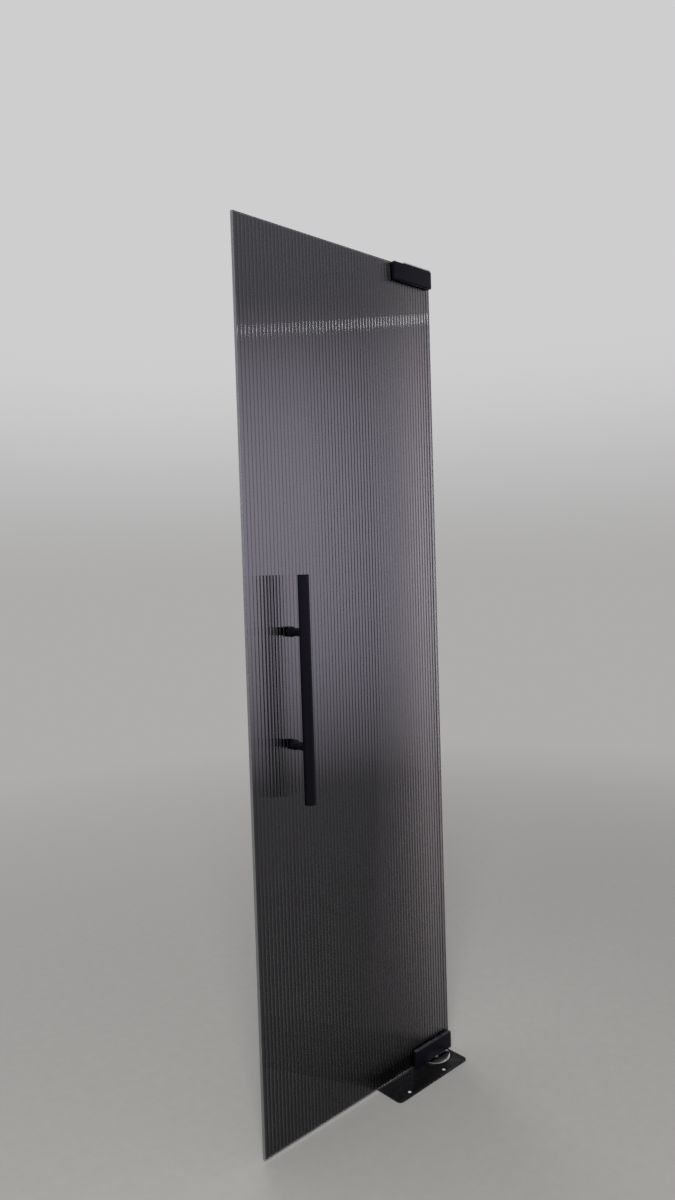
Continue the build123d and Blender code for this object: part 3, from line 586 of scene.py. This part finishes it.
# steel screw heads painted near white with little metal, so that each head shows a painted glint
paintedGlintScrew = makeBareMetal("paintedGlintScrew", {
    "finish": "cast", "scale": 900.0, "dark": (0.80, 0.79, 0.78), "light": (0.90, 0.89, 0.88),
    "bareAndPaintedHighlight": (0.94, 0.93, 0.92), "wearAndPaintedHighlight": 0.6, "rough": (0.22, 0.34), "metallic": 0.35, "bump": 0.06})
castAlloy = makeBareMetal("castAlloy", {
    "finish": "cast", "scale": 650.0, "dark": (0.42, 0.42, 0.43), "light": (0.58, 0.58, 0.59),
    "bareAndPaintedHighlight": (0.75, 0.75, 0.75), "wearAndPaintedHighlight": 0.6, "rough": (0.42, 0.58), "metallic": 1.0, "bump": 0.35})
zincSheet = makeBareMetal("zincSheet", {
    "finish": "spangle", "scale": 150.0, "dark": (0.40, 0.42, 0.44), "light": (0.58, 0.60, 0.62),
    "bareAndPaintedHighlight": (0.70, 0.70, 0.70), "wearAndPaintedHighlight": 0.5, "rough": (0.34, 0.50), "metallic": 1.0, "bump": 0.05})
sealRubber = makeSoftSolid("sealRubber", {
    "dark": (0.012, 0.012, 0.012), "light": (0.022, 0.022, 0.022), "scale": 1400.0,
    "rough": (0.6, 0.75), "bump": 0.25})
gasketFibre = makeSoftSolid("gasketFibre", {
    "dark": (0.035, 0.033, 0.031), "light": (0.06, 0.057, 0.054), "scale": 900.0,
    "rough": (0.8, 0.92), "bump": 0.5})
naturalNylon = makeSoftSolid("naturalNylon", {
    "dark": (0.70, 0.69, 0.64), "light": (0.78, 0.77, 0.73), "scale": 1100.0,
    "rough": (0.4, 0.5), "bump": 0.1})
flutedGlass, flatGlass = makeGlassFace("flutedGlass", True), makeGlassFace("flatGlass", False)
groundEdge = makeGroundEdge()
print("finishes made:", len(bpy.data.materials))


# camera and studio
cameraValues = {
    "place": (-1.9230, -1.7097, 1.5867), "turn": (87.862, 1.760, -42.602),
    "lens": 25.006, "sensor": 36, "reach": 200,
}
bpy.ops.object.camera_add(location=cameraValues["place"],
                          rotation=[radians(a) for a in cameraValues["turn"]])
scene.camera = bpy.context.object
scene.camera.data.lens = cameraValues["lens"]
scene.camera.data.sensor_width = cameraValues["sensor"]
scene.camera.data.clip_end = cameraValues["reach"]
scene.camera.data.dof.use_dof = False

studioValues = {
    "horizon": (0.42, 0.415, 0.41), "sky": (0.62, 0.615, 0.625), "skyBand": (-0.02, 0.26),
    "ambient": 0.75, "floorLevel": 0.052, "floorSize": 120.0, "floorRough": 0.85,
    "floorSpecular": 0.1, "floorDark": (0.34, 0.335, 0.325), "floorLight": (0.38, 0.375, 0.365),
    "speckleScale": 30.0, "speckleDetail": 6.0, "speckleRoughness": 0.6, "fadeBand": (0.8, 5.0),
}


def seesBackground(tree):
    # 1 for camera, glossy and transmission rays
    path = tree.nodes.new("ShaderNodeLightPath").outputs
    total = addMath(tree, "ADD", path["Is Camera Ray"], path["Is Glossy Ray"])
    return addMath(tree, "ADD", total, path["Is Transmission Ray"], clamp=True)


def makeStudio():
    v = studioValues
    world = bpy.data.worlds.new("studio")
    scene.world = world
    world.use_nodes = True
    tree = world.node_tree
    shader = tree.nodes["Background"]
    direction = tree.nodes.new("ShaderNodeTexCoord").outputs["Generated"]
    height = addRange(tree, splitAxes(tree, direction)["Z"], v["skyBand"], kind="SMOOTHSTEP")
    tree.links.new(addMix(tree, height, v["horizon"], v["sky"]), shader.inputs["Color"])
    strength = addRange(tree, seesBackground(tree), (0.0, 1.0), (v["ambient"], 1.0))
    tree.links.new(strength, shader.inputs["Strength"])

    bpy.ops.mesh.primitive_plane_add(size=v["floorSize"], location=(0, 0, v["floorLevel"]))
    floor = bpy.context.object
    floor.name = "studioFloor"
    material, tree, sockets = startMaterial(
        "floorPaint", Roughness=v["floorRough"], Specular_IOR_Level=v["floorSpecular"])
    place = objectPlace(tree)
    speckle = addNoise(tree, place, v["speckleScale"], v["speckleDetail"], v["speckleRoughness"])
    tree.links.new(addMix(tree, speckle, v["floorDark"], v["floorLight"]), sockets["Base Color"])
    glow = addNode(tree, "ShaderNodeEmission", {"Color": (*v["horizon"], 1)})
    tree.links.new(seesBackground(tree), glow.inputs["Strength"])
    distance = addNode(tree, "ShaderNodeVectorMath", operation="LENGTH")
    tree.links.new(place, distance.inputs[0])
    fade = addRange(tree, distance.outputs["Value"], v["fadeBand"], kind="SMOOTHSTEP")
    blend = tree.nodes.new("ShaderNodeMixShader")
    painted = tree.nodes["Principled BSDF"].outputs[0]
    for i, output in enumerate((fade, painted, glow.outputs[0])):
        tree.links.new(output, blend.inputs[i])
    tree.links.new(blend.outputs[0], tree.nodes["Material Output"].inputs["Surface"])
    floor.data.materials.append(material)


# each lamp does one task: "diffuse" lights surfaces, "glossy" shows in reflections and
# "transmission" through glass; a soft one dims towards its "ends" or all round its "rim"
softMean = 6.0
lampValues = {
    "keyLamp": {
        "place": (-3.4, -3.2, 3.6), "aim": (-0.3, 0, 1.2), "size": (1.8, 1.8), "power": 250,
        "colour": (1.0, 0.985, 0.96), "seenBy": "diffuse"},
    "backLamp": {
        "place": (1.2, 3.4, 3.2), "aim": (-0.3, 0, 1.2), "size": (1.6, 1.2), "power": 40,
        "colour": (1.0, 1.0, 1.0), "seenBy": "diffuse"},
    "broadLamp": {
        "place": (0.5, -2.9, 1.85), "aim": (-0.4, 0, 1.85), "size": (5.4, 2.6), "power": 10,
        "colour": (0.92, 0.905, 1.0), "seenBy": "glossy", "soft": "rim"},
    "barLamp": {
        "place": (1.9, -1.3, 3.01), "aim": (0, 0, 2.2), "size": (1.2, 0.05), "power": 1.0,
        "colour": (1.0, 1.0, 1.0), "seenBy": "glossy"},
    "glowLamp": {
        "place": (0.95, 2.1, 1.73), "aim": (-0.1, 0, 1.73), "size": (2.9, 2.8), "power": 42,
        "colour": (0.92, 0.905, 0.98), "seenBy": "transmission", "soft": "ends"},
    "sideLamp": {
        "place": (0.078, 0.065, 1.30), "aim": (-1.0, 0.065, 1.30), "size": (0.09, 3.0),
        "power": 1.4, "colour": (1.0, 0.94, 0.86), "seenBy": "transmission", "soft": "ends"},
}


def addLamp(name, v):
    bpy.ops.object.light_add(type="AREA", location=v["place"])
    lamp = bpy.context.object
    lamp.name = name
    way = Vector(v["aim"]) - Vector(v["place"])
    lamp.rotation_euler = way.to_track_quat("-Z", "Y").to_euler()
    lamp.data.shape = "RECTANGLE"
    lamp.data.size, lamp.data.size_y = v["size"]
    lamp.data.energy = v["power"]
    lamp.data.color = v["colour"]
    lamp.visible_camera = False
    for kind in ("diffuse", "glossy", "transmission"):
        setattr(lamp, "visible_" + kind, kind == v["seenBy"])
    if "soft" in v:
        # softMean * share * (1 - share) is 1 on the mean, so the power stays as it is
        lamp.data.use_nodes = True
        tree = lamp.data.node_tree
        geometry = tree.nodes.new("ShaderNodeNewGeometry")
        shares = splitAxes(tree, geometry.outputs["Parametric"])
        strength = 1.0
        for share in shares[1:2] if v["soft"] == "ends" else shares[:2]:
            dimmed = addMath(tree, "MULTIPLY", share, addMath(tree, "SUBTRACT", 1.0, share))
            dimmed = addMath(tree, "MULTIPLY", dimmed, softMean)
            strength = addMath(tree, "MULTIPLY", dimmed, strength)
        tree.links.new(strength, tree.nodes["Emission"].inputs["Strength"])


makeStudio()
for lampName, values in lampValues.items():
    addLamp(lampName, values)
print("camera, floor and lamps in place")


# glass leaf
def extrudeEdge(dx, dy):
    bpy.ops.mesh.extrude_region_move(TRANSFORM_OT_translate={"value": (dx, dy, 0)})


def makeGlassLeaf():
    v = leafValues
    low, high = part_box("glass_leaf")
    height, middle = high.z - low.z, (low.z + high.z) / 2
    halfTurn = acos((v["radius"] - v["depth"]) / v["radius"])
    ridge = v["pitch"] - 2 * sqrt(v["radius"] ** 2 - (v["radius"] - v["depth"]) ** 2)
    startX = v["firstFlute"] + ridge / 2
    endX = startX + v["flutes"] * v["pitch"]

    # one upright line, spun into the first flute, given its ridge and repeated over the leaf
    deselectAll()
    bpy.ops.mesh.primitive_plane_add(
        size=height, location=(startX + height / 2, low.y, middle), rotation=facing)
    leaf = bpy.context.object
    applyPlace(leaf)
    openForEdit(leaf)
    pick("VERT", lambda p: p.co.x > startX + height / 2)
    bpy.ops.mesh.delete(type="VERT")
    bpy.ops.mesh.select_all(action="SELECT")
    fluteCentre = (v["firstFlute"] + v["pitch"] / 2, low.y + v["depth"] - v["radius"], 0)
    bpy.ops.mesh.spin(steps=v["steps"], angle=2 * halfTurn, axis=(0, 0, 1), center=fluteCentre)
    pick("EDGE", lambda e: isAt(e, 0, startX + v["pitch"] - ridge))
    extrudeEdge(ridge, 0)
    applyModifier(leaf, "ARRAY", count=v["flutes"], use_relative_offset=False,
                  use_constant_offset=True, constant_offset_displace=(v["pitch"], 0, 0),
                  use_merge_vertices=True, merge_threshold=v["merge"])

    # the ridges softened, the arrises, side faces and back, then the ends
    openForEdit(leaf)
    pick("EDGE", lambda e: not e.is_boundary and alongAxis(e, 2) and isAt(e, 1, low.y))
    bpy.ops.mesh.bevel(offset=v["ridgeRound"], segments=2, affect="EDGES")
    pick("EDGE", lambda e: e.is_boundary and isAt(e, 0, endX))
    bpy.ops.transform.translate(value=(high.x - v["arris"] - endX, 0, 0))
    pick("EDGE", lambda e: e.is_boundary and isAt(e, 0, startX))
    extrudeEdge(low.x + v["arris"] - startX, 0)
    for edgeX, out in ((low.x, -1), (high.x, 1)):
        pick("EDGE", lambda e: e.is_boundary and isAt(e, 0, edgeX - out * v["arris"]))
        extrudeEdge(out * v["arris"], v["arris"])
        extrudeEdge(0, high.y - low.y - 2 * v["arris"])
        extrudeEdge(-out * v["arris"], v["arris"])
    pick("EDGE", lambda e: e.is_boundary and alongAxis(e, 2))
    bpy.ops.mesh.edge_face_add()
    for level in (low.z, high.z):
        pick("EDGE", lambda e: e.is_boundary and isAt(e, 2, level))
        bpy.ops.mesh.edge_face_add()
    turnFacesOut()

    # notches for the patches and holes for the handles
    for level in (low.z, high.z):
        cutter = blockAt(
            (high.x - v["notchLength"], -v["through"] / 2, level - v["notchHeight"]),
            (high.x + v["notchLength"], v["through"] / 2, level + v["notchHeight"]))
        openForEdit(cutter)
        pick("EDGE", lambda e: alongAxis(e, 1))
        bpy.ops.mesh.bevel(offset=v["notchRadius"], segments=v["notchSteps"], affect="EDGES")
        cutAway(leaf, cutter)
    handleZ = sum(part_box("front_handle_posts"), Vector()).z / 2
    for side in (-0.5, 0.5):
        hole = (v["handleX"], 0, handleZ + side * v["postSpacing"])
        cutAway(leaf, rodAt(hole, v["holeRadius"], v["through"], facing))

    # edge faces take the ground finish
    finishPiece(leaf, "glassLeaf", leafBody, "fluted_glass", flutedGlass, "glass_leaf")
    openForEdit(leaf)
    faces = ((flatGlass, lambda f: f.normal.y > flatWay),
             (groundEdge, lambda f: abs(f.normal.y) < v["edgeWay"]))
    for i, (material, wanted) in enumerate(faces):
        leaf.data.materials.append(material)
        pick("FACE", wanted)
        leaf.active_material_index = i + 1
        bpy.ops.object.material_slot_assign()
    deselectAll()
    return leaf


glassLeaf = makeGlassLeaf()
print("glass leaf:", len(glassLeaf.data.polygons), "faces")


# patch covers
coverValues = {
    "wall": 0.0015, "edge": 0.0025, "edgeSteps": 5, "openingRadius": 0.0135, "clampFoot": 0.006,
    "screwRadius": 0.00205, "screwInset": 0.022, "screwSides": 32, "through": 0.01,
    "soften": 0.0002, "softenAngle": 50,
}


def makePatchCovers():
    v = coverValues
    low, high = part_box("bottom_patch_front_cover")
    cover = blockAt(low, high)
    openForEdit(cover)
    pick("FACE", lambda f: f.normal.y > flatWay)
    bpy.ops.mesh.delete(type="ONLY_FACE")
    pick("EDGE", lambda e: not e.is_boundary)
    bpy.ops.mesh.bevel(offset=v["edge"], segments=v["edgeSteps"], affect="EDGES")
    makeShell(cover, v["wall"])
    cutAway(cover, rodAt((0, 0, low.z), v["openingRadius"], v["through"]))
    screwY = (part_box("bottom_patch_front_clamp")[0].y - v["clampFoot"]) / 2
    for x in (low.x + v["screwInset"], high.x - v["screwInset"]):
        hole = (x, screwY, low.z)
        cutAway(cover, rodAt(hole, v["screwRadius"], v["through"], sides=v["screwSides"]))
    roundEdges(cover, v["soften"], angle=v["softenAngle"])
    leafMiddle = sum(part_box("glass_leaf"), Vector()).z / 2
    rear = mirrorCopy(cover, 1)
    topFront = mirrorCopy(cover, 2, leafMiddle)
    topRear = mirrorCopy(rear, 2, leafMiddle)
    for piece, end, side in ((cover, "bottom", "front"), (rear, "bottom", "rear"),
                             (topFront, "top", "front"), (topRear, "top", "rear")):
        finishPiece(piece, end + "Patch" + side.capitalize() + "Cover", leafBody, "black_metal",
                    patchCoat, end + "_patch_" + side + "_cover")


makePatchCovers()
print("patch covers made")


# pull handles
handleValues = {
    "radius": 0.015, "wall": 0.002, "soften": 0.00015, "standoff": 0.066, "fit": 0.00005,
    "plug": 0.003, "plugRound": 0.0010, "plugSpigot": 0.012, "plugSoften": 0.00012,
    "baseRadius": 0.014, "baseFoot": 0.006, "baseHeight": 0.011, "baseRound": 0.0012,
    "footRound": 0.0004, "postRadius": 0.011, "postRound": 0.0003,
    "spigotRadius": 0.007, "spigotHeight": 0.014, "spigotRoom": 0.001,
    "saddleLength": 0.05, "grubRadius": 0.00255, "grubDepth": 0.01,
    "sides": 96, "grubSides": 32, "softenAngle": 50,
}


def makeHandles():
    v = handleValues
    x, y = leafValues["handleX"], -v["standoff"]
    low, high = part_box("front_handle_end_plugs")
    middleZ = (low.z + high.z) / 2
    barLength = high.z - low.z - 2 * v["plug"]

    bar = rodAt((x, y, middleZ), v["radius"], barLength, sides=v["sides"])
    openForEdit(bar)
    pick("FACE", lambda f: abs(f.normal.z) > flatWay)
    bpy.ops.mesh.delete(type="ONLY_FACE")
    makeShell(bar, v["wall"])
    roundEdges(bar, v["soften"])

    # end plug: a rounded cap with the spigot that goes up the tube
    inner = v["radius"] - v["wall"] - v["fit"]
    spigotEnd = v["plug"] + v["plugSpigot"]
    cap = roundedCorner(v["radius"], 0, v["plugRound"], up=-1)[::-1]
    plug = turnOnLathe([(0, 0), *cap, (v["radius"], v["plug"]), (inner, v["plug"]),
                        (inner, spigotEnd), (0, spigotEnd)], (x, y, low.z), steps=v["sides"])
    roundEdges(plug, v["plugSoften"])
    joinPieces(plug, mirrorCopy(plug, 2, middleZ))

    # a base on the glass with a spigot, and the post that slides over it and carries the bar
    bases, posts = [], []
    foot, top = v["baseFoot"], v["baseFoot"] + v["baseHeight"]
    spigotTop = top + v["spigotHeight"]
    bore = v["spigotRadius"] + v["fit"]
    for side in (-0.5, 0.5):
        z = middleZ + side * leafValues["postSpacing"]
        bases.append(turnOnLathe([
            (0, foot), (v["baseRadius"] - v["footRound"], foot),
            (v["baseRadius"], foot + v["footRound"]),
            *roundedCorner(v["baseRadius"], top, v["baseRound"]),
            (v["spigotRadius"], top), (v["spigotRadius"], spigotTop), (0, spigotTop)],
            (x, 0, z), facing))
        post = turnOnLathe([
            (bore, top), (v["postRadius"] - v["postRound"], top),
            (v["postRadius"], top + v["postRound"]), (v["postRadius"], v["standoff"]),
            (0, v["standoff"]), (0, spigotTop + v["spigotRoom"]),
            (bore, spigotTop + v["spigotRoom"]), (bore, top)], (x, 0, z), facing)
        saddle = v["radius"] + v["fit"]
        cutAway(post, rodAt((x, y, z), saddle, v["saddleLength"], sides=v["sides"]))
        grub = (x, -top - v["spigotHeight"] / 2, z - v["postRadius"])
        cutAway(post, rodAt(grub, v["grubRadius"], v["grubDepth"], sides=v["grubSides"]))
        roundEdges(post, v["soften"], angle=v["softenAngle"])
        posts.append(post)
    joinPieces(*bases)
    joinPieces(*posts)

    for piece, name, node in ((bar, "HandleBar", "_handle_bar"),
                              (plug, "HandleEndPlugs", "_handle_end_plugs"),
                              (bases[0], "HandleBases", "_handle_bases"),
                              (posts[0], "HandlePosts", "_handle_posts")):
        rear = mirrorCopy(piece, 1)
        for twin, side in ((piece, "front"), (rear, "rear")):
            finishPiece(twin, side + name, leafBody, "black_metal", blackCoat, side + node)


makeHandles()
print("pull handles made")


# cover plate, its screws and the ring about the spindle
plateValues = {
    "corner": 0.015, "cornerSteps": 12, "through": 0.02,
    "round": 0.0007, "roundSteps": 3, "roundAngle": 40,
    "screwRadius": 0.00255, "screwSides": 32, "headRadius": 0.00505, "headSides": 48,
    "screwPlaces": [(-0.193, -0.070), (-0.193, 0.070), (-0.039, -0.070), (-0.039, 0.070)],
    "ringHole": 0.03205, "ringSides": 96, "ringRadius": 0.048, "ringHeight": 0.002,
    "ringEdge": 0.0014, "spigotRadius": 0.032, "spindleHole": 0.0125, "spindleRound": 0.0006,
    "ringSteps": 128,
}


def makeCoverPlate():
    v = plateValues
    low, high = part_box("cover_plate")
    plate = blockAt(low, high)
    openForEdit(plate)
    pick("EDGE", lambda e: alongAxis(e, 2))
    bpy.ops.mesh.bevel(offset=v["corner"], segments=v["cornerSteps"], affect="EDGES")
    cutAway(plate, rodAt((0, 0, low.z), v["ringHole"], v["through"], sides=v["ringSides"]))
    sink = v["headRadius"] - v["screwRadius"]
    for x, y in v["screwPlaces"]:
        hole = (x, y, low.z)
        cutAway(plate, rodAt(hole, v["screwRadius"], v["through"], sides=v["screwSides"]))
        deselectAll()
        bpy.ops.mesh.primitive_cone_add(
            vertices=v["headSides"], radius1=v["screwRadius"], radius2=v["headRadius"] + sink,
            depth=2 * sink, location=(x, y, high.z))
        cutAway(plate, bpy.context.object)
    roundEdges(plate, v["round"], segments=v["roundSteps"], angle=v["roundAngle"])
    finishPiece(plate, "coverPlate", fixedBody, "black_plate", blackPlate, "cover_plate")

    ringTop = high.z + v["ringHeight"]
    ring = turnOnLathe([
        (v["spindleHole"], low.z), (v["spigotRadius"], low.z), (v["spigotRadius"], high.z),
        (v["ringRadius"], high.z), *roundedCorner(v["ringRadius"], ringTop, v["ringEdge"]),
        (v["spindleHole"] + v["spindleRound"], ringTop),
        (v["spindleHole"], ringTop - v["spindleRound"]),
        (v["spindleHole"], low.z)], (0, 0, 0), steps=v["ringSteps"])
    finishPiece(ring, "spindleRing", fixedBody, "bright_ring", brightRing, "spindle_ring")


screwValues = {
    "headRadius": 0.0049, "headRound": 0.0002, "shank": 0.0025, "length": 0.012, "tip": 0.0004,
    "key": 0.0025, "keyDepth": 0.0025, "keySides": 6, "steps": 48,
}


def makePlateScrews():
    v = screwValues
    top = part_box("cover_plate_screws")[1].z
    sink = v["headRadius"] - v["shank"]
    screw = turnOnLathe([
        (0, -v["length"]), (v["shank"] - v["tip"], -v["length"]),
        (v["shank"], v["tip"] - v["length"]), (v["shank"], -sink),
        (v["headRadius"], -v["headRound"]), (v["headRadius"] - v["headRound"], 0), (0, 0)],
        (0, 0, 0), steps=v["steps"])
    # the key is given over its flats
    keyRadius = v["key"] / sqrt(3)
    cutAway(screw, rodAt((0, 0, 0), keyRadius, 2 * v["keyDepth"], sides=v["keySides"]))
    copies = [copyAt(screw, (x, y, top)) for x, y in plateValues["screwPlaces"]]
    bpy.data.objects.remove(screw, do_unlink=True)
    joinPieces(*copies)
    finishPiece(copies[0], "coverPlateScrews", fixedBody, "steel", paintedGlintScrew,
                "cover_plate_screws")


makeCoverPlate()
makePlateScrews()
print("floor plate, ring and screws made")


# finishes of the nodes that stay
nodeFinishes = {
    "castAlloy": ["bottom_patch_front_clamp", "bottom_patch_rear_clamp",
                  "top_patch_front_clamp", "top_patch_rear_clamp"],
    "gasketFibre": ["bottom_patch_gaskets", "top_patch_gaskets"],
    "darkScrew": ["bottom_patch_cover_screws", "top_patch_cover_screws", "handle_grub_screws"],
    "paintedGlintScrew": ["bottom_patch_clamp_screws", "top_patch_clamp_screws", "closer_lid_screws",
                    "valve_screws", "levelling_screws", "closer_end_plug"],
    "turnedSteel": ["spindle_socket", "top_pivot_socket", "top_pivot_pin", "closer_spindle",
                    "thrust_washer", "handle_studs", "spindle_bearing", "closer_lid"],
    "naturalNylon": ["top_pivot_bush", "handle_sleeves"],
    "zincSheet": ["top_pivot_plate", "floor_case"],
    "sealRubber": ["handle_washers", "spindle_seal"],
    "paintedIron": ["closer_body"],
}
for finish, nodes in nodeFinishes.items():
    for node in nodes:
        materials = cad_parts[node].data.materials
        materials.clear()
        materials.append(bpy.data.materials[finish])
deselectAll()
